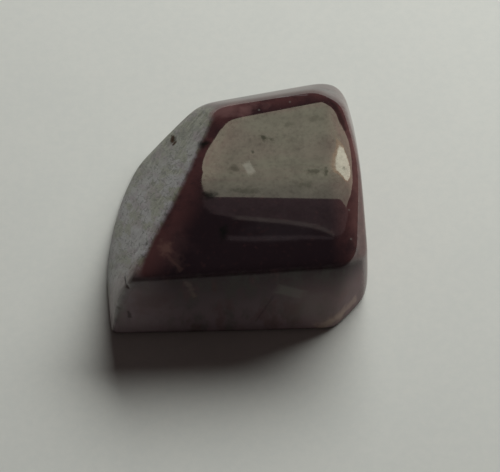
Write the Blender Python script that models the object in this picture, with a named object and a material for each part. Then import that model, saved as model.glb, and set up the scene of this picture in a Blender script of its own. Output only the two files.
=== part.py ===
"""A tumbled ruby: one worn and polished pebble, flat beneath. Metres, +Z up, its steep front towards -Y."""

import math
from dataclasses import dataclass
from enum import Enum

import bmesh
import bpy
from mathutils import Vector

MM = 0.001

NODE = "ruby"

# The pebble is a rough block worn round. Each worn face lies at its own reach from the heart.
HEART_HEIGHT = 4.2 * MM

# The corners of the rough block, seen from the heart: in plan from the left front corner round to the left rear.
UPPER_CORNERS = (
    Vector((-7.4, -8.9, 2.8)) * MM,
    Vector((8.9, -7.4, 2.8)) * MM,
    Vector((8.4, 9.0, 2.8)) * MM,
    Vector((-2.0, 6.9, 2.9)) * MM,
)
LOWER_CORNERS = (
    Vector((-10.0, -9.8, -3.8)) * MM,
    Vector((8.8, -9.4, -3.8)) * MM,
    Vector((9.6, 9.9, -3.8)) * MM,
    Vector((-5.2, 8.1, -3.8)) * MM,
)
# Cells along each edge of the block, and the share of their spacing that is drawn in towards its edges.
CELLS = 24
DRAWN_TO_EDGES = 0.6
# Steps of Newton's method that find the worn surface along a direction.
NEWTON_STEPS = 8


class Edge(Enum):
    """How tightly a worn face meets its neighbours. A larger number leaves less of the edge worn away."""

    BROAD = 12
    ROUND = 20
    FIRM = 30
    CRISP = 40
    SHARP = 60


@dataclass(frozen=True)
class WornFace:
    """One worn face of the pebble.

    Args:
        name: what the face is.
        heading: direction its outward normal points in plan, in degrees from +X towards +Y.
        lift: angle of that normal above the horizontal, in degrees.
        reach: distance from the heart to the face, in metres.
        edge: how tightly it meets its neighbours.
    """

    name: str
    heading: float
    lift: float
    reach: float
    edge: Edge

    @property
    def normal(self) -> Vector:
        """Returns the face's outward unit normal."""
        heading, lift = math.radians(self.heading), math.radians(self.lift)
        return Vector(
            (
                math.cos(lift) * math.cos(heading),
                math.cos(lift) * math.sin(heading),
                math.sin(lift),
            )
        )


FACES = (
    # The broad top, faintly folded across its middle.
    WornFace("top, rear half", 108, 86, 4.05 * MM, Edge.BROAD),
    WornFace("top, front half", 259, 83, 4.25 * MM, Edge.FIRM),
    # The long sloping face on the left, and the bowed side below it.
    WornFace("left slope", 158, 38, 5.4 * MM, Edge.ROUND),
    WornFace("left side", 173, 14, 8.95 * MM, Edge.FIRM),
    WornFace("left rear side", 132, 15, 8.8 * MM, Edge.CRISP),
    WornFace("left rear foot", 150, -45, 10.75 * MM, Edge.FIRM),
    WornFace("left front slope", 174, 25, 8.1 * MM, Edge.BROAD),
    WornFace("left foot", 187, 6, 10.65 * MM, Edge.SHARP),
    # The steep front, upright at the ground, and the corner cut off on its right.
    WornFace("front", 273, 12, 8.85 * MM, Edge.ROUND),
    WornFace("front foot", 271, -7, 10.1 * MM, Edge.SHARP),
    WornFace("right front corner", 319, 3, 11.8 * MM, Edge.SHARP),
    # The right side below its narrow bevels.
    WornFace("right bevel", -11, 43, 9.75 * MM, Edge.SHARP),
    WornFace("rear right bevel", 57, 40, 10.4 * MM, Edge.SHARP),
    WornFace("right side", 3, 3, 10.0 * MM, Edge.FIRM),
    WornFace("right foot", 10, -20, 10.1 * MM, Edge.CRISP),
    WornFace("right rear corner", 16, 20, 10.75 * MM, Edge.CRISP),
    # The rear wall below a broad bevel along its upper edge, undercut at the ground.
    WornFace("rear bevel", 101, 39, 7.7 * MM, Edge.ROUND),
    WornFace("rear", 105, 8, 9.75 * MM, Edge.CRISP),
    WornFace("rear foot", 103, -35, 9.0 * MM, Edge.FIRM),
    # Just below the ground, so that the ground trims it to the flat resting face.
    WornFace("underside", 0, -90, 4.3 * MM, Edge.ROUND),
)


def on_block(cube_point: Vector) -> Vector:
    """Carries a point of a cube from -1 to 1 onto the rough block.

    Args:
        cube_point: the point on the cube, X and Y in plan and Z from the lower to the upper corners.

    Returns:
        The matching point of the block, seen from the heart.
    """
    across, along, up = (
        (1 - DRAWN_TO_EDGES) * t + DRAWN_TO_EDGES * math.sin(math.pi / 2 * t)
        for t in cube_point
    )
    shares = (
        (1 - across) * (1 - along) / 4,
        (1 + across) * (1 - along) / 4,
        (1 + across) * (1 + along) / 4,
        (1 - across) * (1 + along) / 4,
    )
    point = Vector()
    for share, lower, upper in zip(shares, LOWER_CORNERS, UPPER_CORNERS):
        point += share * lower.lerp(upper, (1 + up) / 2)
    return point


def reach_along(direction: Vector) -> float:
    """Works out how far the worn surface is from the heart.

    Args:
        direction: unit vector from the heart.

    Returns:
        The distance to the surface in metres.
    """
    nearness = [max(1e-9, direction.dot(face.normal)) / face.reach for face in FACES]
    distance = 1.0 / max(nearness)
    for _ in range(NEWTON_STEPS):
        shares = [(distance * near) ** face.edge.value for near, face in zip(nearness, FACES)]
        total = sum(shares)
        slope = sum(share * face.edge.value for share, face in zip(shares, FACES))
        distance *= total ** (-total / slope)
    return distance


def worn_pebble() -> bpy.types.Mesh:
    """Builds the pebble, standing on its flat underside with its bounding box centred over the origin.

    Returns:
        The finished mesh.
    """
    bm = bmesh.new()
    bmesh.ops.create_cube(bm, size=2.0)
    bmesh.ops.subdivide_edges(bm, edges=bm.edges, cuts=CELLS - 1, use_grid_fill=True)
    for vertex in bm.verts:
        direction = on_block(vertex.co).normalized()
        vertex.co = direction * reach_along(direction)
        vertex.co.z = max(vertex.co.z + HEART_HEIGHT, 0.0)
    middle = [
        (max(v.co[axis] for v in bm.verts) + min(v.co[axis] for v in bm.verts)) / 2
        for axis in (0, 1)
    ]
    bmesh.ops.translate(bm, verts=bm.verts, vec=(-middle[0], -middle[1], 0.0))
    bmesh.ops.recalc_face_normals(bm, faces=bm.faces)
    mesh = bpy.data.meshes.new(NODE)
    bm.to_mesh(mesh)
    bm.free()
    mesh.shade_smooth()
    return mesh


def ruby_material() -> bpy.types.Material:
    """Makes the stone's plain polished finish.

    Returns:
        A dark wine-red material with a strong gloss.
    """
    material = bpy.data.materials.new("dark polished ruby")
    material.use_nodes = True
    shader = material.node_tree.nodes["Principled BSDF"]
    shader.inputs["Base Color"].default_value = (0.05, 0.008, 0.012, 1.0)
    shader.inputs["Roughness"].default_value = 0.08
    shader.inputs["IOR"].default_value = 1.77
    material.diffuse_color = (0.16, 0.03, 0.04, 1.0)
    return material


def main() -> None:
    """Clears the scene and leaves the pebble in a collection of its own."""
    for leftover in list(bpy.data.objects):
        bpy.data.objects.remove(leftover)
    collection = bpy.data.collections.new("ruby pebble")
    bpy.context.scene.collection.children.link(collection)
    mesh = worn_pebble()
    mesh.materials.append(ruby_material())
    collection.objects.link(bpy.data.objects.new(NODE, mesh))


main()
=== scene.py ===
"""Dresses the tumbled ruby: the worn stone with its pits and inclusions, the paper it lies on, and the light.

Metres in the scene, +Z up, the stone's steep front towards -Y. The stone is worked out in millimetres.
"""

import logging
import math
import random
from dataclasses import dataclass
from enum import Enum
from functools import reduce
from typing import Any, Union

import bmesh
import bpy
import numpy as np
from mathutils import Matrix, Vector, noise


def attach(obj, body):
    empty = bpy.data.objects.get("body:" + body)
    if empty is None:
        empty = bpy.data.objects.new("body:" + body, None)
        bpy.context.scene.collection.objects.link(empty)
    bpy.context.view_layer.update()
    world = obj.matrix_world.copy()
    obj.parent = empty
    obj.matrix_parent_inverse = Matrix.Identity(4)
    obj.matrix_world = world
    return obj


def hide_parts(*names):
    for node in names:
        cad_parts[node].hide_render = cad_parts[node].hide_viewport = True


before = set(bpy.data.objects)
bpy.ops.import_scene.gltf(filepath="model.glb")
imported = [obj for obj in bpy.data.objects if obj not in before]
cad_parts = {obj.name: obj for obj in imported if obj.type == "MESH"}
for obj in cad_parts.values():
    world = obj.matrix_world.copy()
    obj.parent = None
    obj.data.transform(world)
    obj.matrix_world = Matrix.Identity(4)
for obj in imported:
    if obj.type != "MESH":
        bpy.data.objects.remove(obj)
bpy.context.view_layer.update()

MM = 0.001
BODY = "root"
NODE = "ruby"

log = logging.getLogger("tumbled ruby")

Colour = tuple[float, float, float]
Point = tuple[float, float, float]


def direction(azimuth: float, elevation: float) -> Vector:
    """Points from the stone towards a place in the studio.

    Args:
        azimuth: degrees from +Y, the far side, towards +X.
        elevation: degrees above the horizontal.

    Returns:
        The unit vector.
    """
    turn, lift = math.radians(azimuth), math.radians(elevation)
    return Vector((math.sin(turn) * math.cos(lift), math.cos(turn) * math.cos(lift), math.sin(lift)))


# --------------------------------------------------------------------------------------------------
# Shader writing
# --------------------------------------------------------------------------------------------------


class Value:
    """A number that varies over the surface. Arithmetic on it adds the Math nodes that work it out."""

    def __init__(self, sheet: "Sheet", socket: bpy.types.NodeSocket) -> None:
        """Wraps an output socket of the sheet's tree."""
        self.sheet = sheet
        self.socket = socket

    def calculate(self, operation: str, *operands: "Operand") -> "Value":
        """Adds one Math node.

        Args:
            operation: the node's operation.
            operands: its inputs in order.

        Returns:
            The node's result.
        """
        made = self.sheet.add("ShaderNodeMath", {"operation": operation}, dict(enumerate(operands)))
        return Value(self.sheet, made.outputs[0])

    def __add__(self, other: "Operand") -> "Value":
        """Returns self + other."""
        return self.calculate("ADD", self, other)

    def __radd__(self, other: "Operand") -> "Value":
        """Returns other + self."""
        return self.calculate("ADD", other, self)

    def __sub__(self, other: "Operand") -> "Value":
        """Returns self - other."""
        return self.calculate("SUBTRACT", self, other)

    def __rsub__(self, other: "Operand") -> "Value":
        """Returns other - self."""
        return self.calculate("SUBTRACT", other, self)

    def __mul__(self, other: "Operand") -> "Value":
        """Returns self * other."""
        return self.calculate("MULTIPLY", self, other)

    def __rmul__(self, other: "Operand") -> "Value":
        """Returns other * self."""
        return self.calculate("MULTIPLY", other, self)

    def absolute(self) -> "Value":
        """Returns the size of self without its sign."""
        return self.calculate("ABSOLUTE", self)

    def highest(self, other: "Operand") -> "Value":
        """Returns the larger of self and other."""
        return self.calculate("MAXIMUM", self, other)

    def step(self, start: float, end: float, most: float = 1.0) -> "Value":
        """Rises smoothly between two levels.

        Args:
            start: the level that gives 0.
            end: the level that gives the most. It may be below start, for a fall.
            most: what the mask rises to.

        Returns:
            A mask from 0 to most.
        """
        made = self.sheet.add(
            "ShaderNodeMapRange",
            {"interpolation_type": "SMOOTHSTEP"},
            {"Value": self, "From Min": start, "From Max": end, "To Min": 0.0, "To Max": most},
        )
        return Value(self.sheet, made.outputs["Result"])


Operand = Union[float, Value]
Link = Union[float, tuple[float, ...], Value, bpy.types.NodeSocket]


class Sheet:
    """One material's nodes, with patterns laid on Object coordinates in millimetres."""

    def __init__(self, name: str, origin: Point = (0.0, 0.0, 0.0)) -> None:
        """Starts a material that holds one Principled shader.

        Args:
            name: the material's name.
            origin: where its patterns are measured from, in millimetres.
        """
        self.material = bpy.data.materials.new(name)
        self.material.use_nodes = True
        self.tree = self.material.node_tree
        self.shader = self.tree.nodes["Principled BSDF"]
        where = self.add("ShaderNodeTexCoord")
        scaled = self.add(
            "ShaderNodeMapping",
            {},
            {
                "Vector": where.outputs["Object"],
                "Location": tuple(-part for part in origin),
                "Scale": (1 / MM, 1 / MM, 1 / MM),
            },
        )
        self.place = scaled.outputs["Vector"]

    def connect(self, socket: bpy.types.NodeSocket, source: Link) -> None:
        """Sets a socket to a constant, or links it to a value or socket."""
        if isinstance(source, Value):
            source = source.socket
        if isinstance(source, bpy.types.NodeSocket):
            self.tree.links.new(source, socket)
            return
        if socket.type == "RGBA" and len(source) == 3:
            source = (*source, 1.0)
        socket.default_value = source

    def add(
        self,
        kind: str,
        settings: dict[str, Any] | None = None,
        sockets: dict[str | int, Link] | None = None,
    ) -> bpy.types.Node:
        """Adds a node of any type.

        Args:
            kind: the node's type.
            settings: its properties, set before its sockets.
            sockets: constants and links for its inputs, by name or number.

        Returns:
            The new node.
        """
        made = self.tree.nodes.new(kind)
        for name, setting in (settings or {}).items():
            setattr(made, name, setting)
        for name, source in (sockets or {}).items():
            self.connect(made.inputs[name], source)
        return made

    def finish(self, **sockets: Link) -> bpy.types.Material:
        """Fills in the shader's own sockets.

        Args:
            sockets: constants and links by socket name, with an underscore for each space.

        Returns:
            The material.
        """
        for name, source in sockets.items():
            self.connect(self.shader.inputs[name.replace("_", " ")], source)
        return self.material

    def patch(self, mask: Value, colour: Link) -> bpy.types.Material:
        """Lays a matt layer over part of the finished shader.

        Args:
            mask: 0 for the shader, 1 for the layer.
            colour: the layer's colour.

        Returns:
            The material.
        """
        matt = self.add(
            "ShaderNodeBsdfPrincipled",
            {},
            {"Base Color": colour, "Roughness": 0.8, "Specular IOR Level": 0.0},
        )
        both = self.add("ShaderNodeMixShader", {}, {0: mask, 1: self.shader.outputs[0], 2: matt.outputs[0]})
        self.connect(self.tree.nodes["Material Output"].inputs["Surface"], both.outputs[0])
        return self.material

    def vector(self, operation: str, *operands: Link) -> bpy.types.NodeSocket:
        """Adds a Vector Math node and returns its vector."""
        made = self.add("ShaderNodeVectorMath", {"operation": operation}, dict(enumerate(operands)))
        return made.outputs["Vector"]

    def measure(self, operation: str, *operands: Link) -> Value:
        """Adds a Vector Math node and returns its number."""
        made = self.add("ShaderNodeVectorMath", {"operation": operation}, dict(enumerate(operands)))
        return Value(self, made.outputs["Value"])

    def along(self, axis: Point) -> Value:
        """Returns how far each place lies along an axis, in millimetres for an axis of length 1."""
        return self.measure("DOT_PRODUCT", self.place, axis)

    def attribute(self, name: str) -> Value:
        """Returns a number kept on the mesh."""
        return Value(self, self.add("ShaderNodeAttribute", {"attribute_name": name}).outputs["Fac"])

    def stretched(
        self, size: Point, turn: Point = (0.0, 0.0, 0.0), middle: Point = (0.0, 0.0, 0.0)
    ) -> bpy.types.NodeSocket:
        """Lays out coordinates for a stretched pattern.

        Args:
            size: the pattern's grain along each turned axis, in millimetres.
            turn: rotation of the pattern, in degrees about X, Y and Z.
            middle: where the pattern starts, in millimetres.

        Returns:
            The coordinates, one unit to a grain.
        """
        made = self.add(
            "ShaderNodeMapping",
            {"vector_type": "TEXTURE"},
            {
                "Vector": self.place,
                "Location": middle,
                "Rotation": tuple(math.radians(angle) for angle in turn),
                "Scale": size,
            },
        )
        return made.outputs["Vector"]

    def clouds(
        self, grain: float | bpy.types.NodeSocket, detail: float = 2.0, roughness: float = 0.5
    ) -> Value:
        """Adds soft noise from 0 to 1.

        Args:
            grain: size of the clouds in millimetres, or coordinates already laid out.
            detail: octaves of finer noise.
            roughness: weight of the finer octaves.

        Returns:
            The noise.
        """
        spread = self.stretched((grain,) * 3) if isinstance(grain, (int, float)) else grain
        made = self.add(
            "ShaderNodeTexNoise",
            {"noise_dimensions": "3D"},
            {"Vector": spread, "Scale": 1.0, "Detail": detail, "Roughness": roughness},
        )
        return Value(self, made.outputs["Fac"])

    def mix(self, mask: Operand, under: Link, over: Link) -> bpy.types.NodeSocket:
        """Lays one colour over another.

        Args:
            mask: 0 for under, 1 for over.
            under: the colour beneath.
            over: the colour on top.

        Returns:
            The mixed colour.
        """
        made = self.add("ShaderNodeMix", {"data_type": "RGBA"}, {0: mask, 6: under, 7: over})
        return made.outputs[2]


@dataclass(frozen=True)
class Pattern:
    """Soft patches that noise lays over a surface.

    Args:
        grain: size of the patches in millimetres.
        start: level of the noise where a patch begins.
        end: level where it is full.
        strength: how much a full patch covers, from 0 to 1.
        detail: octaves of finer noise.
        roughness: weight of the finer octaves.
        drawn_out: how many grains long a patch is along each of its own axes.
        turn: how far those axes are turned about X, Y and Z, in degrees.
    """

    grain: float
    start: float = 0.0
    end: float = 1.0
    strength: float = 1.0
    detail: float = 3.0
    roughness: float = 0.6
    drawn_out: Point = (1.0, 1.0, 1.0)
    turn: Point = (0.0, 0.0, 0.0)

    def waves(self, sheet: Sheet) -> Value:
        """Returns the noise that the patches are made from, from 0 to 1."""
        size = tuple(self.grain * length for length in self.drawn_out)
        return sheet.clouds(sheet.stretched(size, self.turn), self.detail, self.roughness)

    def mask(self, sheet: Sheet) -> Value:
        """Returns how much the patches cover."""
        return self.waves(sheet).step(self.start, self.end, self.strength)


# --------------------------------------------------------------------------------------------------
# The stone
# --------------------------------------------------------------------------------------------------


class Polish(Enum):
    """How far a worn face was polished."""

    GLOSSY = "glossy"
    FROSTED = "frosted"
    DULL = "dull"


class Edge(Enum):
    """How tightly a worn face meets its neighbours. A larger number leaves less of the edge worn away."""

    BROAD = 12
    ROUND = 20
    FIRM = 30
    CRISP = 40
    SHARP = 60


@dataclass(frozen=True)
class WornFace:
    """One worn face of the stone.

    Args:
        name: what the face is.
        heading: direction its outward normal points in plan, in degrees from +X towards +Y.
        lift: angle of that normal above the horizontal, in degrees.
        reach: distance from the heart to the face, in millimetres.
        edge: how tightly it meets its neighbours.
        polish: its finish.
    """

    name: str
    heading: float
    lift: float
    reach: float
    edge: Edge
    polish: Polish = Polish.GLOSSY

    @property
    def normal(self) -> Vector:
        """Returns the face's outward unit normal."""
        return direction(90.0 - self.heading, self.lift)


FACES = (
    WornFace("top, rear half", 108, 86, 4.05, Edge.BROAD),
    WornFace("top, front half", 259, 83, 4.25, Edge.FIRM),
    WornFace("left slope", 158, 38, 5.4, Edge.ROUND, Polish.FROSTED),
    WornFace("left side", 173, 14, 8.95, Edge.FIRM, Polish.FROSTED),
    WornFace("left rear side", 132, 15, 8.8, Edge.CRISP, Polish.FROSTED),
    WornFace("left rear foot", 150, -45, 10.75, Edge.FIRM),
    WornFace("left front slope", 174, 25, 8.1, Edge.BROAD, Polish.FROSTED),
    WornFace("left foot", 187, 6, 10.65, Edge.SHARP, Polish.FROSTED),
    WornFace("front", 273, 12, 8.85, Edge.ROUND, Polish.DULL),
    WornFace("front foot", 271, -7, 10.1, Edge.SHARP, Polish.DULL),
    WornFace("right front corner", 319, 3, 11.8, Edge.SHARP, Polish.DULL),
    WornFace("right bevel", -11, 43, 9.75, Edge.SHARP),
    WornFace("rear right bevel", 57, 40, 10.4, Edge.SHARP),
    WornFace("right side", 3, 3, 10.0, Edge.FIRM),
    WornFace("right foot", 10, -20, 10.1, Edge.CRISP),
    WornFace("right rear corner", 16, 20, 10.75, Edge.CRISP),
    WornFace("rear bevel", 101, 39, 7.7, Edge.ROUND),
    WornFace("rear", 105, 8, 9.75, Edge.CRISP),
    WornFace("rear foot", 103, -35, 9.0, Edge.FIRM),
    WornFace("underside", 0, -90, 4.3, Edge.ROUND),
)


class Mark(Enum):
    """What a mark in the stone is."""

    BLACK = "black inclusion"
    CLOUDY = "spot that the polish missed"
    PALE = "pale crystal"
    GREY = "greyish crystal"
    GOLD = "golden stain"
    # Partly the stone's own tone and partly painted glow of light through it.
    ROSE = "rosy glow"
    # Painted light: the amber glow of light through a thin edge.
    AMBER = "amber glow of a thin edge"
    BROWN = "brown stain"


@dataclass(frozen=True)
class Blot:
    """A mark of limited size in the stone.

    Args:
        mark: what it is.
        place: its middle in millimetres, seen from the heart.
        radii: how far it reaches along its own X, Y and Z, in millimetres.
        strength: how much it covers, from 0 to 1.
        ragged: how uneven its outline is, as a share of its size.
        soft: how much of its reach fades out, from 0 to 1.
        turn: how far its own axes are turned about X, Y and Z, in degrees.
        angular: whether it has straight sides instead of round ones.
        grain: size of the waves in its outline, as a share of its smallest radius.
    """

    mark: Mark
    place: Point
    radii: Point
    strength: float = 1.0
    ragged: float = 0.5
    soft: float = 0.4
    turn: Point = (0.0, 0.0, 0.0)
    angular: bool = False
    grain: float = 0.8

    def mask(self, sheet: Sheet) -> Value:
        """Returns how much the blot covers."""
        laid = sheet.stretched(self.radii, self.turn, self.place)
        if self.angular:
            sides = sheet.add("ShaderNodeSeparateXYZ", {}, {"Vector": sheet.vector("ABSOLUTE", laid)})
            first, second, third = (Value(sheet, side) for side in sides.outputs)
            away = first.highest(second).highest(third)
        else:
            away = sheet.measure("LENGTH", laid)
        uneven = (sheet.clouds(min(self.radii) * self.grain) - 0.5) * (2.0 * self.ragged)
        return (away + uneven).step(1.0, 1.0 - self.soft, self.strength)


@dataclass(frozen=True)
class Thread:
    """A thin line in the stone.

    Args:
        mark: what it is.
        start: one end in millimetres, seen from the heart.
        end: the other end in the same way.
        width: its half width in millimetres.
        strength: how much it covers, from 0 to 1.
        core: how many half widths out it covers fully.
        skirt: how many half widths out it has faded away.
        bend: size of its bends in millimetres.
        stray: how many half widths its bends swing across.
        overshoot: share of its length that it runs past its ends.
        taper: share of its length, from either end, over which it is still fading.
    """

    mark: Mark
    start: Point
    end: Point
    width: float
    strength: float = 1.0
    core: float = 0.4
    skirt: float = 2.2
    bend: float = 0.8
    stray: float = 5.0
    overshoot: float = 0.04
    taper: float = 0.06

    def mask(self, sheet: Sheet) -> Value:
        """Returns how much the thread covers."""
        run = Vector(self.end) - Vector(self.start)
        offset = sheet.vector("SUBTRACT", sheet.place, self.start)
        reached = sheet.measure("DOT_PRODUCT", offset, tuple(run / run.length_squared))
        begun = reached.step(-self.overshoot, self.taper)
        ended = reached.step(1.0 + self.overshoot, 1.0 - self.taper)
        foot = sheet.add("ShaderNodeVectorMath", {"operation": "SCALE"}, {0: tuple(run), "Scale": reached})
        away = sheet.measure("LENGTH", sheet.vector("SUBTRACT", offset, foot.outputs["Vector"]))
        bends = (sheet.clouds(self.bend) - 0.5) * (self.stray * self.width)
        line = (away + bends).step(self.skirt * self.width, self.core * self.width, self.strength)
        return line * begun * ended


BLOTS = (
    # Soft colour, laid first; the rosy blots are partly the stone's own tone and partly painted glow.
    Blot(Mark.ROSE, (-5.0, -6.0, 3.3), (2.3, 2.2, 1.6), 0.15, 0.6, 0.9),
    Blot(Mark.ROSE, (-1.6, 6.6, 3.5), (4.6, 1.5, 1.0), 1.0, 0.6, 0.8),
    Blot(Mark.ROSE, (-2.2, 1.7, 3.9), (1.5, 2.6, 1.0), 0.15, 0.6, 0.9),
    Blot(Mark.GOLD, (-5.5, -6.2, 3.35), (0.8, 1.0, 0.7), 0.4, 1.0, 0.9),
    Blot(Mark.GOLD, (-4.6, -7.2, 3.2), (0.9, 1.1, 0.7), 0.12, 1.0, 0.9),
    Blot(Mark.ROSE, (-1.7, -8.8, 1.8), (0.35, 0.5, 1.1), 0.5, 0.8, 0.9),
    Blot(Mark.ROSE, (-6.6, -9.2, 0.4), (2.6, 1.5, 3.0), 0.4, 0.6, 0.9),
    Blot(Mark.ROSE, (-7.85, -8.0, 2.6), (1.0, 2.0, 1.2), 0.6, 0.4, 0.8),
    Blot(Mark.GREY, (-7.8, -8.8, 2.7), (1.0, 0.9, 1.2), 0.4, 0.4, 0.8),
    Blot(Mark.PALE, (6.0, -9.0, -1.2), (2.8, 1.6, 2.4), 0.22, 0.5, 0.9),
    Blot(Mark.GREY, (3.3, -4.9, 3.8), (4.2, 1.3, 1.0), 0.04, 0.5, 0.9),
    # Inclusions and spots on the top.
    Blot(Mark.BLACK, (-2.62, 3.12, 3.66), (0.85, 0.72, 0.7), 0.92, 0.5, 0.85),
    Blot(Mark.BLACK, (-1.05, -5.0, 3.64), (0.6, 1.0, 0.6), 0.85, 0.7, 0.9),
    Blot(Mark.BLACK, (-2.15, -1.75, 3.9), (0.95, 0.6, 0.6), 0.8, 0.6, 0.9),
    Blot(Mark.CLOUDY, (2.1, 3.6, 3.87), (0.55, 0.5, 0.6), 0.75, 0.8, 0.9),
    Blot(Mark.CLOUDY, (2.75, 3.3, 3.89), (0.3, 0.5, 0.6), 0.55, 0.8, 0.9),
    Blot(Mark.CLOUDY, (1.25, 2.2, 3.94), (0.18, 0.24, 0.6), 0.6, 0.6, 0.8),
    Blot(Mark.CLOUDY, (-0.3, 0.7, 3.97), (0.8, 0.6, 0.6), 0.55, 0.8, 0.9),
    Blot(Mark.CLOUDY, (6.0, 0.3, 4.13), (0.9, 0.5, 0.6), 0.55, 0.8, 0.9),
    Blot(Mark.CLOUDY, (6.95, 0.25, 4.15), (0.28, 0.6, 0.6), 0.65, 0.8, 0.9),
    Blot(Mark.CLOUDY, (5.4, -0.9, 4.1), (1.1, 0.5, 0.6), 0.4, 0.8, 0.9),
    Blot(Mark.CLOUDY, (0.6, -1.4, 4.0), (1.8, 0.45, 0.6), 0.45, 0.8, 0.9),
    Blot(Mark.CLOUDY, (4.2, 4.9, 3.8), (0.7, 0.5, 0.6), 0.35, 0.8, 0.9),
    Blot(Mark.CLOUDY, (6.3, 5.4, 3.76), (1.3, 0.7, 0.6), 0.35, 0.8, 0.9),
    Blot(Mark.CLOUDY, (8.4, 0.55, 4.15), (0.2, 0.3, 0.6), 0.55, 0.8, 0.9),
    # A pale angular patch laid in the colour of the top.
    Blot(Mark.PALE, (0.96, 0.67, 4.0), (0.74, 0.42, 0.6), 0.4, 0.06, 0.55, (0.0, 0.0, -64.0), True),
    Blot(Mark.PALE, (1.76, 6.35, 3.64), (0.13, 0.13, 0.3), 0.3, 0.4, 0.8),
    Blot(Mark.PALE, (4.24, 7.14, 3.61), (0.12, 0.12, 0.3), 0.3, 0.4, 0.8),
    Blot(Mark.PALE, (8.73, -3.16, 4.03), (0.11, 0.11, 0.3), 0.3, 0.4, 0.8),
    Blot(Mark.PALE, (8.84, -5.57, 3.69), (0.12, 0.12, 0.3), 0.3, 0.4, 0.8),
    # The front.
    # A pale angular patch laid in the colour of the front.
    Blot(Mark.PALE, (4.2, -8.7, 0.85), (1.5, 0.8, 0.66), 0.32, 0.12, 0.5, (0.0, 22.0, 0.0), True),
    Blot(Mark.PALE, (-9.2, -9.0, -1.0), (1.0, 1.2, 3.6), 0.5, 0.6, 0.9),
    # Painted light: amber glow at the thin lower right edge.
    Blot(Mark.AMBER, (7.8, -8.9, -3.0), (1.6, 1.2, 1.0), 0.35, 0.4, 0.9),
    # The frosted side.
    Blot(Mark.BROWN, (-5.08, 5.45, 0.0), (0.3, 0.35, 0.5), 0.9, 0.3, 0.5),
    Blot(Mark.BROWN, (-5.28, 6.3, -0.55), (0.24, 0.7, 0.5), 0.9, 0.3, 0.5),
)
THREADS = (
    Thread(Mark.GOLD, (-5.3, -6.9, 3.35), (-4.2, -8.1, 3.1), 0.1, 0.15),
    Thread(Mark.AMBER, (-3.85, -8.6, 2.6), (-3.2, -9.0, 0.7), 0.17, 0.14),
    # Painted light: amber glow along the thin lower right edge.
    Thread(Mark.AMBER, (6.3, -9.4, -3.8), (7.7, -9.0, -2.95), 0.32, 0.4),
    Thread(Mark.AMBER, (7.7, -9.0, -2.95), (9.5, -7.3, -2.55), 0.32, 0.4),
    Thread(Mark.GREY, (3.2, 7.85, 3.3), (5.7, 7.9, 3.45), 0.05, 0.3),
    Thread(Mark.BLACK, (7.4, 7.35, 3.6), (8.15, 6.0, 3.8), 0.13, 0.5),
    Thread(Mark.BLACK, (8.15, 6.0, 3.8), (8.6, 4.2, 3.9), 0.13, 0.5),
    Thread(Mark.BLACK, (2.9, -8.85, 0.5), (1.43, -9.48, -2.62), 0.06, 0.25),
    Thread(Mark.BLACK, (-8.69, -7.71, 1.66), (-8.34, -8.82, 1.92), 0.07, 0.7),
    Thread(Mark.BLACK, (-8.45, -9.55, -0.6), (-8.36, -9.75, -1.6), 0.09, 0.5),
    Thread(Mark.BROWN, (-5.42, 6.98, -1.05), (-5.1, 5.4, 0.1), 0.13, 1.0),
)

MARK_COLOURS: dict[Mark, Colour] = {
    Mark.BLACK: (0.006, 0.007, 0.006),
    Mark.CLOUDY: (0.03, 0.033, 0.02),
    Mark.PALE: (0.3, 0.31, 0.27),
    Mark.GREY: (0.17, 0.165, 0.17),
    Mark.GOLD: (0.16, 0.09, 0.07),
    Mark.ROSE: (0.118, 0.06, 0.057),
    Mark.AMBER: (0.6, 0.46, 0.36),
    Mark.BROWN: (0.055, 0.03, 0.02),
}


@dataclass(frozen=True)
class Grinding(Pattern):
    """A pattern drawn out down the frosted side, the way it was ground."""

    drawn_out: Point = (0.65, 2.0, 0.65)
    turn: Point = (-47.0, 0.0, 17.0)


@dataclass(frozen=True)
class Zone:
    """A part of the stone that lies towards one worn face.

    Args:
        face: the face's name.
        start: share of the way out to the face's plane where the zone begins.
        end: share of the way where it is full.
        strength: how much it covers there, from 0 to 1.
    """

    face: str
    start: float
    end: float
    strength: float = 1.0

    def mask(self, sheet: Sheet) -> Value:
        """Returns how much the zone covers."""
        face = next(face for face in FACES if face.name == self.face)
        return sheet.along(tuple(face.normal / face.reach)).step(self.start, self.end, self.strength)


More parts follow.
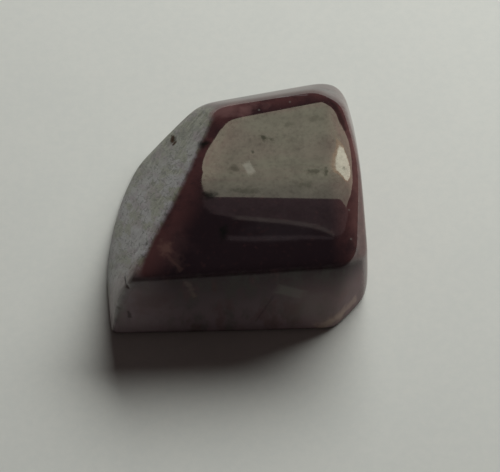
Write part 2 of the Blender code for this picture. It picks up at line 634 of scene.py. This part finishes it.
@dataclass(frozen=True)
class PolishedColour:
    """The polished faces: nearly black in their depth, with painted light where the stone is thin: a painted
    wine red glow, and a brighter painted glow along the right rim.

    Args:
        deep: the stone where it is thick.
        wine: the painted glow of light through the thinner stone, and the stone's own red in its flecks.
        painted_rim_glow: the painted glow of light through its thin right rim.
        thin: the zones where the stone is thinner, where the painted glow lies.
        mottle: patches of that painted glow.
        flecks: small flecks of it in the deep stone.
        rim: the zone of the painted rim glow.
        painted_glow_least: how much the painted rim glow covers between its veins.
        veins: the veins of the painted rim glow.
    """

    deep: Colour = (0.013, 0.0075, 0.0095)
    wine: Colour = (0.063, 0.0255, 0.025)
    painted_rim_glow: Colour = (0.135, 0.066, 0.06)
    thin: tuple[Zone, ...] = (
        Zone("left slope", 0.55, 0.95),
        Zone("rear bevel", 0.78, 0.98),
        Zone("right side", 0.7, 0.88),
    )
    mottle: Pattern = Pattern(2.2, 0.2, 0.62, detail=4.0)
    flecks: Pattern = Pattern(0.45, 0.55, 0.78, 0.3)
    rim: Zone = Zone("right side", 0.82, 1.0)
    painted_glow_least: float = 0.6
    veins: Pattern = Pattern(1.1, 0.36, 0.62, 0.4, detail=4.0, roughness=0.65)

    def lay(self, sheet: Sheet) -> bpy.types.NodeSocket:
        """Returns the colour."""
        # Painted light: a wine red glow where light shines through the thinner stone.
        thin = reduce(Value.highest, (zone.mask(sheet) for zone in self.thin))
        colour = sheet.mix(thin * self.mottle.mask(sheet), self.deep, self.wine)
        colour = sheet.mix(self.flecks.mask(sheet), colour, self.wine)
        # Painted light: the glow of light through the thin right rim.
        glow = self.rim.mask(sheet) * (self.painted_glow_least + self.veins.mask(sheet))
        return sheet.mix(glow, colour, self.painted_rim_glow)


@dataclass(frozen=True)
class FrostedColour:
    """The frosted faces: mauve and greenish greys with dark strokes and pores; their pale main tone is partly
    their own and partly painted sheen.

    Args:
        grey_and_painted_sheen: their main pale tone, partly their own and partly painted sheen.
        green: their greenish patches, and their rear end.
        rose: their mauve patches.
        dark: their smudges, strokes and pores.
        rear_end: how far to the rear they begin to turn green, and have turned, in millimetres.
        rear_green: how green the rear end is.
        greens: the greenish patches.
        roses: the mauve patches.
        smudges: the dark smudges.
        smudged: how dark the smudges are, and how much darker at the rear end.
        scored: how dark the strokes and pores are.
    """

    grey_and_painted_sheen: Colour = (0.275, 0.268, 0.272)
    green: Colour = (0.155, 0.162, 0.088)
    rose: Colour = (0.205, 0.162, 0.18)
    dark: Colour = (0.06, 0.06, 0.05)
    rear_end: tuple[float, float] = (1.0, 7.0)
    rear_green: float = 0.75
    greens: Pattern = Grinding(1.7, 0.44, 0.58, 0.7)
    roses: Pattern = Grinding(1.3, 0.48, 0.62, 0.6)
    smudges: Pattern = Grinding(0.8, 0.44, 0.66, detail=4.0, roughness=0.7)
    smudged: tuple[float, float] = (0.3, 0.2)
    scored: float = 0.6

    def lay(self, sheet: Sheet, scores: Value) -> bpy.types.NodeSocket:
        """Mixes the colour.

        Args:
            sheet: the material.
            scores: where the strokes and pores are.

        Returns:
            The colour.
        """
        rear_end = sheet.along((0.0, 1.0, 0.0)).step(*self.rear_end)
        green = self.greens.mask(sheet).highest(rear_end * self.rear_green)
        # Partly painted sheen: the pale main tone also stands in for the frosting's gloss.
        colour = sheet.mix(green, self.grey_and_painted_sheen, self.green)
        colour = sheet.mix(self.roses.mask(sheet), colour, self.rose)
        everywhere, rearwards = self.smudged
        smudges = self.smudges.mask(sheet) * (rear_end * rearwards + everywhere)
        colour = sheet.mix(smudges, colour, self.dark)
        return sheet.mix(scores * self.scored, colour, self.dark)


@dataclass(frozen=True)
class DullColour:
    """The dull front: soft clouds of rose, mauve and green, with painted light and shade: darker towards the
    top, lighter towards the foot, and a painted glow towards the right.

    Args:
        upper: its darker tone along the top, painted shade.
        lower: its lighter tone at the foot, painted light.
        green: its greenish clouds.
        rose: its rosy clouds.
        glow: its painted glow towards the right.
        rise: heights of the upper and the lower tone above the heart, in millimetres.
        greens: the greenish clouds.
        roses: the rosy clouds.
        painted_light_zones: the zones of the painted glow.
        painted_light_rise: heights where the painted glow begins and is full, in millimetres.
    """

    upper: Colour = (0.062, 0.04, 0.045)
    lower: Colour = (0.256, 0.196, 0.214)
    green: Colour = (0.09, 0.095, 0.08)
    rose: Colour = (0.15, 0.085, 0.085)
    glow: Colour = (0.32, 0.21, 0.21)
    rise: tuple[float, float] = (3.6, -3.6)
    greens: Pattern = Pattern(1.3, 0.45, 0.65, 0.5, drawn_out=(1.0, 1.0, 2.15))
    roses: Pattern = Pattern(1.1, 0.5, 0.7, 0.5, drawn_out=(1.0, 1.0, 2.18))
    painted_light_zones: tuple[Zone, ...] = (Zone("right side", 0.0, 0.8, 0.5), Zone("right front corner", 0.92, 1.02, 0.45))
    painted_light_rise: tuple[float, float] = (3.6, -1.0)

    def lay(self, sheet: Sheet) -> bpy.types.NodeSocket:
        """Returns the colour."""
        height = sheet.along((0.0, 0.0, 1.0))
        # Painted shade and light: darker towards the top, lighter towards the foot.
        colour = sheet.mix(height.step(*self.rise), self.upper, self.lower)
        colour = sheet.mix(self.greens.mask(sheet), colour, self.green)
        colour = sheet.mix(self.roses.mask(sheet), colour, self.rose)
        # Painted light: a glow towards the right.
        painted_light_zones = reduce(Value.highest, (zone.mask(sheet) for zone in self.painted_light_zones))
        return sheet.mix(painted_light_zones * height.step(*self.painted_light_rise), colour, self.glow)


@dataclass(frozen=True)
class RubyFinish:
    """The stone's finish: polished on the top and at the right, frosted on the left, dull in front.

    Args:
        polished: the polished faces' colour, with its painted glow.
        frosted: the frosted faces' colour, partly painted sheen.
        dull: the dull front's colour, with its painted light and shade.
        corner: colour of the worn left front corner.
        corner_heading: direction of that corner.
        corner_reach: how far that way the corner begins and is full, in millimetres.
        corner_strength: how much its colour covers.
        border: the waves in the finishes' borders.
        border_swing: how far they swing, as a share of the border.
        frosted_border: a frosted face's share where its finish begins and is full.
        dull_border: a dull face's share in the same way.
        strokes: the noise whose middle level draws the ground strokes.
        stroke_width: how far from that level a stroke fades out and is full.
        stroke_gaps: the patches that have strokes.
        pores: the frosted faces' pores.
        grain: the frosted faces' fine grain.
        grain_height: its height in millimetres.
        stroke_depth: depth of the strokes in millimetres.
        pore_depth: depth of the pores in millimetres.
        films: broad patches that the polish missed.
        specks: small specks that it missed.
        worn_edges: the edges where it has worn off.
        dull_matt: how much of the dull front has no polish.
        refraction: corundum's index of refraction.
        roughness: the polished faces' roughness.
        frosted_roughness: how much rougher the frosted faces are.
        dull_roughness: how much rougher the dull faces are.
    """

    polished: PolishedColour = PolishedColour()
    frosted: FrostedColour = FrostedColour()
    dull: DullColour = DullColour()
    corner: Colour = (0.37, 0.3, 0.32)
    corner_heading: Point = (-0.55, -0.83, 0.0)
    corner_reach: tuple[float, float] = (9.8, 12.6)
    corner_strength: float = 0.8
    border: Pattern = Pattern(0.5, roughness=0.5)
    border_swing: float = 0.2
    frosted_border: tuple[float, float] = (0.25, 0.75)
    dull_border: tuple[float, float] = (0.45, 0.95)
    strokes: Pattern = Grinding(1.1, detail=2.0)
    stroke_width: tuple[float, float] = (0.045, 0.01)
    stroke_gaps: Pattern = Pattern(0.8, 0.48, 0.58, detail=1.0, roughness=0.5)
    pores: Pattern = Grinding(0.36, 0.56, 0.68, detail=2.0)
    grain: Pattern = Grinding(0.14, detail=2.0)
    grain_height: float = 0.007
    stroke_depth: float = 0.008
    pore_depth: float = 0.009
    films: Pattern = Pattern(1.3, 0.38, 0.72, 0.2, detail=4.0, roughness=0.65)
    specks: Pattern = Pattern(0.28, 0.42, 0.75, 0.2)
    worn_edges: tuple[Zone, ...] = (Zone("rear bevel", 0.9, 1.0, 0.24), Zone("right side", 0.9, 1.0, 0.24))
    dull_matt: float = 0.75
    refraction: float = 1.77
    roughness: float = 0.03
    frosted_roughness: float = 0.33
    dull_roughness: float = 0.3

    def make(self, heart: Point) -> bpy.types.Material:
        """Makes the material.

        Args:
            heart: the stone's heart in millimetres.

        Returns:
            The material.
        """
        sheet = Sheet("polished ruby", heart)
        swing = (self.border.waves(sheet) - 0.5) * self.border_swing
        frosted = (sheet.attribute(Polish.FROSTED.value) + swing).step(*self.frosted_border)
        dull = (sheet.attribute(Polish.DULL.value) + swing).step(*self.dull_border)
        strokes = (self.strokes.waves(sheet) - 0.5).absolute().step(*self.stroke_width)
        strokes = strokes * self.stroke_gaps.mask(sheet)
        pores = self.pores.mask(sheet)

        colour = sheet.mix(frosted, self.polished.lay(sheet), self.frosted.lay(sheet, strokes.highest(pores)))
        colour = sheet.mix(dull, colour, self.dull.lay(sheet))
        corner = sheet.along(self.corner_heading).step(*self.corner_reach, self.corner_strength)
        colour = sheet.mix(corner * (frosted + dull), colour, self.corner)

        missed = self.films.mask(sheet) + self.specks.mask(sheet)
        for edge in self.worn_edges:
            missed = missed.highest(edge.mask(sheet))
        missed = missed.highest(dull * self.dull_matt)
        for mark in (*BLOTS, *THREADS):
            mask = mark.mask(sheet)
            colour = sheet.mix(mask, colour, MARK_COLOURS[mark.mark])
            if mark.mark in (Mark.BLACK, Mark.BROWN, Mark.CLOUDY):
                missed = missed.highest(mask)

        cut = strokes * self.stroke_depth + pores * self.pore_depth
        height = (frosted + dull * 0.5) * (self.grain.waves(sheet) * self.grain_height - cut)
        bump = sheet.add("ShaderNodeBump", {}, {"Strength": 1.0, "Distance": MM, "Height": height})
        sheet.finish(
            Base_Color=colour,
            Roughness=self.roughness + frosted * self.frosted_roughness + dull * self.dull_roughness,
            IOR=self.refraction,
            Normal=bump.outputs["Normal"],
        )
        return sheet.patch(missed, colour)


@dataclass(frozen=True)
class Pit:
    """A small dent in the surface.

    Args:
        place: its middle in millimetres, seen from the heart.
        radius: its radius across, in millimetres.
        depth: its depth in millimetres.
        stretch: how many times longer it is along its length.
        along: the direction of its length.
    """

    place: Point
    radius: float
    depth: float
    stretch: float = 1.3
    along: Point = (-0.36, -0.93, 0.0)


DENTS = (
    Pit((-5.16, 5.95, -0.2), 0.25, 0.16),
    Pit((-8.5, -8.3, 1.8), 0.14, 0.14, 4.0, (0.3, -0.93, 0.21)),
    Pit((-8.32, -9.7, -1.6), 0.2, 0.14, 4.0, (0.0, -0.16, -0.99)),
    Pit((-8.95, -9.8, -1.9), 0.5, 0.12, 2.0, (0.0, -0.1, -0.99)),
    Pit((-9.15, -9.4, -0.3), 0.25, 0.12, 2.0, (0.7, -0.7, 0.0)),
)


@dataclass
class TumbledRuby:
    """The stone: a rough block worn round and polished.

    Args:
        upper_corners: the block's upper corners in plan order from the left front, seen from the heart.
        lower_corners: its lower corners in the same order.
        heart_height: height of the heart above the ground.
        cells: cells along each edge of the block.
        drawn_to_edges: share of their spacing that is drawn in towards the edges.
        newton_steps: rounds in which the worn surface is found.
        swell_size: width of the surface's slow swells, in millimetres.
        swell_height: their height in millimetres.
        wave_size: width of the frosted faces' small waves, in millimetres.
        wave_height: their height in millimetres.
        pit_count: number of pits in the frosted faces.
        pit_seed: seed of the draw that scatters them.
        pit_frosting: least share of frosted face where a pit may lie.
        pit_radius: their smallest and largest radius, in millimetres.
        pit_depth: their smallest and largest depth, in millimetres.
        heart: where the heart lies once the stone is built.
    """

    upper_corners: tuple[Point, ...] = (
        (-7.4, -8.9, 2.8),
        (8.9, -7.4, 2.8),
        (8.4, 9.0, 2.8),
        (-2.0, 6.9, 2.9),
    )
    lower_corners: tuple[Point, ...] = (
        (-10.0, -9.8, -3.8),
        (8.8, -9.4, -3.8),
        (9.6, 9.9, -3.8),
        (-5.2, 8.1, -3.8),
    )
    heart_height: float = 4.2
    cells: int = 126
    drawn_to_edges: float = 0.6
    newton_steps: int = 8
    swell_size: float = 3.5
    swell_height: float = 0.002
    wave_size: float = 0.7
    wave_height: float = 0.004
    pit_count: int = 260
    pit_seed: int = 7
    pit_frosting: float = 0.8
    pit_radius: tuple[float, float] = (0.12, 0.26)
    pit_depth: tuple[float, float] = (0.01, 0.04)
    heart: Point = (0.0, 0.0, 0.0)

    def on_block(self, cube: np.ndarray) -> np.ndarray:
        """Carries points of a cube from -1 to 1 onto the rough block.

        Args:
            cube: the points, one to a row.

        Returns:
            The matching points of the block, seen from the heart.
        """
        drawn = self.drawn_to_edges
        across, along, up = ((1 - drawn) * cube + drawn * np.sin(np.pi / 2 * cube)).T[:, :, None]
        shares = (
            (1 - across) * (1 - along) / 4,
            (1 + across) * (1 - along) / 4,
            (1 + across) * (1 + along) / 4,
            (1 - across) * (1 + along) / 4,
        )
        low = sum(share * np.array(corner) for share, corner in zip(shares, self.lower_corners))
        high = sum(share * np.array(corner) for share, corner in zip(shares, self.upper_corners))
        return low + (1 + up) / 2 * (high - low)

    def worn(self, directions: np.ndarray) -> tuple[np.ndarray, np.ndarray, np.ndarray]:
        """Finds the worn surface.

        Args:
            directions: unit vectors from the heart.

        Returns:
            The points, the outward normals there, and each face's share in each point.
        """
        planes = np.array([face.normal / face.reach for face in FACES])
        edges = np.array([face.edge.value for face in FACES])
        near = np.maximum(1e-9, directions @ planes.T)
        distance = 1.0 / near.max(axis=1, keepdims=True)
        for _ in range(self.newton_steps):
            shares = (distance * near) ** edges
            total = shares.sum(axis=1, keepdims=True)
            distance *= total ** (-total / (shares @ edges)[:, None])
        shares = (distance * near) ** edges
        slopes = (shares * edges / near) @ planes
        slopes /= np.linalg.norm(slopes, axis=1, keepdims=True)
        return directions * distance, slopes, shares / shares.sum(axis=1, keepdims=True)

    def relief(self, points: np.ndarray, frosted: np.ndarray) -> np.ndarray:
        """Works out how far the surface lies below the smooth worn shape.

        Args:
            points: the smooth surface, seen from the heart.
            frosted: the share of frosted face in each point.

        Returns:
            The depth in millimetres.
        """
        swell = np.array([noise.noise(Vector(point) / self.swell_size) for point in points])
        waves = np.array([noise.noise(Vector(point) / self.wave_size) for point in points])
        depth = self.swell_height * swell + self.wave_height * frosted * (1.0 + waves)
        draw = random.Random(self.pit_seed)
        rough = points[frosted > self.pit_frosting]
        pits = [
            Pit(
                place=tuple(rough[draw.randrange(len(rough))]),
                radius=draw.uniform(*self.pit_radius),
                depth=draw.uniform(*self.pit_depth),
            )
            for _ in range(self.pit_count)
        ]
        for pit in (*pits, *DENTS):
            offset = points - np.array(pit.place)
            run = offset @ np.array(pit.along)
            squared = (offset**2).sum(axis=1) - run**2 * (1 - 1 / pit.stretch**2)
            depth += pit.depth * np.exp(-squared / pit.radius**2)
        return depth

    def build(self) -> bpy.types.Object:
        """Builds the stone's mesh at the origin, standing on its flat underside.

        Returns:
            The finished object.
        """
        bm = bmesh.new()
        bmesh.ops.create_cube(bm, size=2.0)
        bmesh.ops.subdivide_edges(bm, edges=bm.edges, cuts=self.cells - 1, use_grid_fill=True)
        mesh = bpy.data.meshes.new("tumbled_ruby")
        bm.to_mesh(mesh)
        bm.free()
        cube = np.empty(len(mesh.vertices) * 3)
        mesh.vertices.foreach_get("co", cube)
        block = self.on_block(cube.reshape(-1, 3))
        points, normals, shares = self.worn(block / np.linalg.norm(block, axis=1, keepdims=True))
        points[:, 2] += self.heart_height
        middle = (points.max(axis=0) + points.min(axis=0)) / 2
        points[:, :2] -= middle[:2]
        self.heart = (-middle[0], -middle[1], self.heart_height)
        frosted, dull = (
            shares[:, [face.polish is polish for face in FACES]].sum(axis=1)
            for polish in (Polish.FROSTED, Polish.DULL)
        )
        points -= normals * self.relief(points - np.array(self.heart), frosted)[:, None]
        points[:, 2] = np.maximum(points[:, 2], 0.0)
        mesh.vertices.foreach_set("co", (points * MM).reshape(-1))
        for polish, share in ((Polish.FROSTED, frosted), (Polish.DULL, dull)):
            mesh.attributes.new(polish.value, "FLOAT", "POINT").data.foreach_set("value", share)
        self.turn_outwards(mesh)
        mesh.shade_smooth()
        stone = bpy.data.objects.new("tumbled_ruby", mesh)
        bpy.context.scene.collection.objects.link(stone)
        return stone

    def turn_outwards(self, mesh: bpy.types.Mesh) -> None:
        """Turns every face of the mesh to point outwards."""
        bm = bmesh.new()
        bm.from_mesh(mesh)
        bmesh.ops.recalc_face_normals(bm, faces=bm.faces)
        bm.to_mesh(mesh)
        bm.free()

    def dress(self, stone: bpy.types.Object) -> None:
        """Gives the stone its finish and joins it to the frame."""
        stone.data.materials.append(RubyFinish().make(self.heart))
        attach(stone, BODY)
        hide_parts(NODE)


# --------------------------------------------------------------------------------------------------
# The studio
# --------------------------------------------------------------------------------------------------


@dataclass(frozen=True)
class Reflector:
    """A glowing board that is seen only in the stone's gloss.

    Args:
        name: what it is.
        corners: azimuth and elevation of each corner in degrees, in order round it.
        glow: its radiance in red, green and blue.
        upper_glow: its radiance along its upper edge, where it differs.
        cloudy_glow: its radiance in soft clouds across it, where it differs.
        distance: how far away it hangs, in metres.
        clouds: its soft clouds.
        fade: share of its height, from its foot, above which the upper glow begins.
        waver: the waves in the border of the upper glow.
        waver_swing: how far that border swings, in millimetres.
    """

    name: str
    corners: tuple[tuple[float, float], ...]
    glow: Colour
    upper_glow: Colour | None = None
    cloudy_glow: Colour | None = None
    distance: float = 0.6
    clouds: Pattern = Pattern(38.0, 0.4, 0.65, 0.7)
    fade: float = 0.6
    waver: Pattern = Pattern(30.0)
    waver_swing: float = 40.0

    def places(self, middle: Vector) -> list[Vector]:
        """Returns the places of its corners round the stone."""
        return [middle + direction(*corner) * self.distance for corner in self.corners]

    def material(self, places: list[Vector]) -> bpy.types.Material:
        """Makes its glow, a little uneven and fading towards its upper edge.

        Args:
            places: its corners.

        Returns:
            The material.
        """
        sheet = Sheet(self.name)
        low, high = min(place.z for place in places) / MM, max(place.z for place in places) / MM
        height = sheet.along((0.0, 0.0, 1.0))
        swing = (self.waver.waves(sheet) - 0.5) * self.waver_swing
        upper = (height + swing).step(low + self.fade * (high - low), high)
        glow = sheet.mix(self.clouds.mask(sheet), self.glow, self.cloudy_glow or self.glow)
        glow = sheet.mix(upper, glow, self.upper_glow or self.glow)
        return sheet.finish(Base_Color=(0.0, 0.0, 0.0), Emission_Color=glow, Emission_Strength=1.0)


REFLECTORS = (
    Reflector(
        "broad window",
        (
            (-9.3, 66.3), (-9, 62), (-9.7, 54), (-15.5, 46.6), (-16.3, 44.7), (-11.5, 46.6),
            (-8, 47.2), (-5.2, 46), (-2.3, 44.5), (2.2, 40), (6.6, 43), (12, 46), (24, 40.5),
            (28.5, 38), (28, 42), (30, 48.5), (43, 50.5), (42, 58.5), (25, 67), (19, 69), (8, 68.8),
            (2.7, 67.6), (-2.8, 67.1),
        ),
        (1.62, 1.56, 1.15),
        (1.08, 1.02, 0.8),
        (1.55, 1.3, 1.02),
    ),
    Reflector(
        "warm fringe",
        (
            (2.5, 49.6), (7.5, 49.1), (15, 49.6), (23, 51.3), (24, 55.5), (14, 60.2), (6.5, 59.9),
            (2.8, 57.8), (1.2, 55.8), (1.0, 53.2), (1.2, 51),
        ),
        (2.3, 1.75, 1.15),
        distance=0.55,
    ),
    Reflector(
        "bright pane",
        (
            (3.5, 49.9), (7.5, 49.4), (14.3, 50.2), (21.2, 51.9), (22.2, 55.1), (13.8, 59.5),
            (7, 59.2), (3.3, 57.1), (1.7, 55), (1.5, 53.2), (1.7, 51.4), (2.4, 50.4),
        ),
        (5.2, 5.1, 4.0),
        distance=0.5,
    ),
    Reflector(
        "dim ceiling",
        (
            (-10, 66), (19, 68), (36, 67.5), (21, 72.1), (2, 73.5), (-1, 72.8), (-3, 72.4),
            (-5, 72), (-7, 71.6), (-9, 71.2), (-11, 70.4), (-11, 69),
        ),
        (0.18, 0.13, 0.13),
        cloudy_glow=(0.24, 0.16, 0.17),
        distance=0.65,
    ),
    Reflector(
        "ceiling's bright edge",
        (
            (-9.2, 70.8), (-4.8, 71.6), (-0.9, 72.4), (1.6, 73.3), (1.6, 73.6), (-1, 72.9),
            (-5, 72.1), (-9.3, 71.4),
        ),
        (0.35, 0.29, 0.265),
    ),
    Reflector(
        "dim shelf",
        (
            (-11.2, 73.05), (-8.8, 73.25), (-5.4, 73.35), (1.3, 73.6), (1.3, 73.85), (-5.5, 73.75),
            (-9, 73.65), (-11.5, 73.4),
        ),
        (0.165, 0.13, 0.135),
    ),
)


@dataclass
class Studio:
    """The paper, the light and the camera.

    Args:
        heart: the stone's heart in millimetres.
        floor_side: length and width of the sheet of paper, in metres.
        floor_colour: the paper's tone.
        floor_crease: its slightly darker tone.
        fibres: the noise of its fibres, and how much they count.
        unevenness: the noise of its broad unevenness, and how much that counts.
        fibre_levels: levels of the two together where the darker tone begins and is full.
        stone_top: the place that the boards hang round, in millimetres.
        key_azimuth: direction of the light, in degrees from +Y towards +X.
        key_elevation: its height above the horizontal, in degrees.
        key_distance: its distance from the stone, in metres.
        key_width: its width in metres.
        key_height: its height in metres.
        key_power: its power in watts.
        world_colour: the room's faint light.
        camera_elevation: height of the camera above the horizontal, in degrees.
        camera_distance: its distance from the place that it looks at, in metres.
        camera_aim: that place, in millimetres from the heart.
        camera_range: the nearest and farthest things that it sees, in metres.
        lens: its focal length in millimetres.
    """

    heart: Point
    floor_side: float = 1.2
    floor_colour: Colour = (0.75, 0.77, 0.71)
    floor_crease: Colour = (0.72, 0.745, 0.69)
    fibres: tuple[Pattern, float] = (Pattern(0.7, roughness=0.7), 0.6)
    unevenness: tuple[Pattern, float] = (Pattern(7.0), 0.4)
    fibre_levels: tuple[float, float] = (0.35, 0.65)
    stone_top: Point = (2.0, 0.0, 8.0)
    key_azimuth: float = 29.0
    key_elevation: float = 37.6
    key_distance: float = 0.284
    key_width: float = 0.334
    key_height: float = 0.149
    key_power: float = 0.98
    world_colour: Colour = (0.031, 0.0235, 0.0235)
    camera_elevation: float = 60.0
    camera_distance: float = 0.18
    camera_aim: Point = (1.041, -2.236, -1.62)
    camera_range: tuple[float, float] = (0.01, 5.0)
    lens: float = 162.0

    def lay_floor(self) -> None:
        """Lays the sheet of pale paper."""
        bm = bmesh.new()
        bmesh.ops.create_grid(bm, x_segments=2, y_segments=2, size=self.floor_side / 2)
        mesh = bpy.data.meshes.new("paper")
        bm.to_mesh(mesh)
        bm.free()
        sheet = Sheet("pale paper")
        (fine, fine_share), (broad, broad_share) = self.fibres, self.unevenness
        level = fine.waves(sheet) * fine_share + broad.waves(sheet) * broad_share
        tone = sheet.mix(level.step(*self.fibre_levels), self.floor_colour, self.floor_crease)
        mesh.materials.append(sheet.finish(Base_Color=tone, Roughness=0.9, IOR=1.3))
        floor = bpy.data.objects.new("paper", mesh)
        bpy.context.scene.collection.objects.link(floor)

    def hang(self, reflector: Reflector) -> None:
        """Hangs one reflector where only the gloss sees it."""
        places = reflector.places(Vector(self.stone_top) * MM)
        bm = bmesh.new()
        bm.faces.new([bm.verts.new(place) for place in places])
        mesh = bpy.data.meshes.new(reflector.name)
        bm.to_mesh(mesh)
        bm.free()
        mesh.materials.append(reflector.material(places))
        board = bpy.data.objects.new(reflector.name.replace(" ", "_"), mesh)
        bpy.context.scene.collection.objects.link(board)
        board.visible_camera = False
        board.visible_diffuse = False
        board.visible_shadow = False
        board.visible_transmission = False

    def light(self) -> None:
        """Sets up the one broad soft light and the faint light of the room."""
        lamp = bpy.data.lights.new("soft box", "AREA")
        lamp.shape = "ELLIPSE"
        lamp.size = self.key_width
        lamp.size_y = self.key_height
        lamp.energy = self.key_power
        box = bpy.data.objects.new("soft_box", lamp)
        towards = direction(self.key_azimuth, self.key_elevation)
        box.location = towards * self.key_distance
        box.rotation_euler = towards.to_track_quat("Z", "Y").to_euler()
        box.visible_camera = False
        box.visible_glossy = False
        bpy.context.scene.collection.objects.link(box)
        world = bpy.data.worlds.new("room")
        world.use_nodes = True
        world.node_tree.nodes["Background"].inputs["Color"].default_value = (*self.world_colour, 1.0)
        bpy.context.scene.world = world

    def place_camera(self) -> None:
        """Looks down on the stone from its front."""
        lens = bpy.data.cameras.new("camera")
        lens.lens = self.lens
        lens.clip_start, lens.clip_end = self.camera_range
        camera = bpy.data.objects.new("camera", lens)
        back = direction(180.0, self.camera_elevation)
        camera.location = (Vector(self.heart) + Vector(self.camera_aim)) * MM + back * self.camera_distance
        camera.rotation_euler = back.to_track_quat("Z", "Y").to_euler()
        bpy.context.scene.collection.objects.link(camera)
        bpy.context.scene.camera = camera
        bpy.context.scene.view_settings.view_transform = "Standard"

    def build(self) -> None:
        """Builds the whole studio."""
        self.lay_floor()
        for reflector in REFLECTORS:
            self.hang(reflector)
        self.light()
        self.place_camera()


def main() -> None:
    """Builds the stone and the studio."""
    logging.basicConfig(level=logging.INFO, format="%(name)s: %(message)s")
    ruby = TumbledRuby()
    stone = ruby.build()
    ruby.dress(stone)
    log.info("stone: %d faces", len(stone.data.polygons))
    Studio(ruby.heart).build()
    log.info("studio: paper, light, reflectors and camera")


if __name__ == "__main__":
    main()
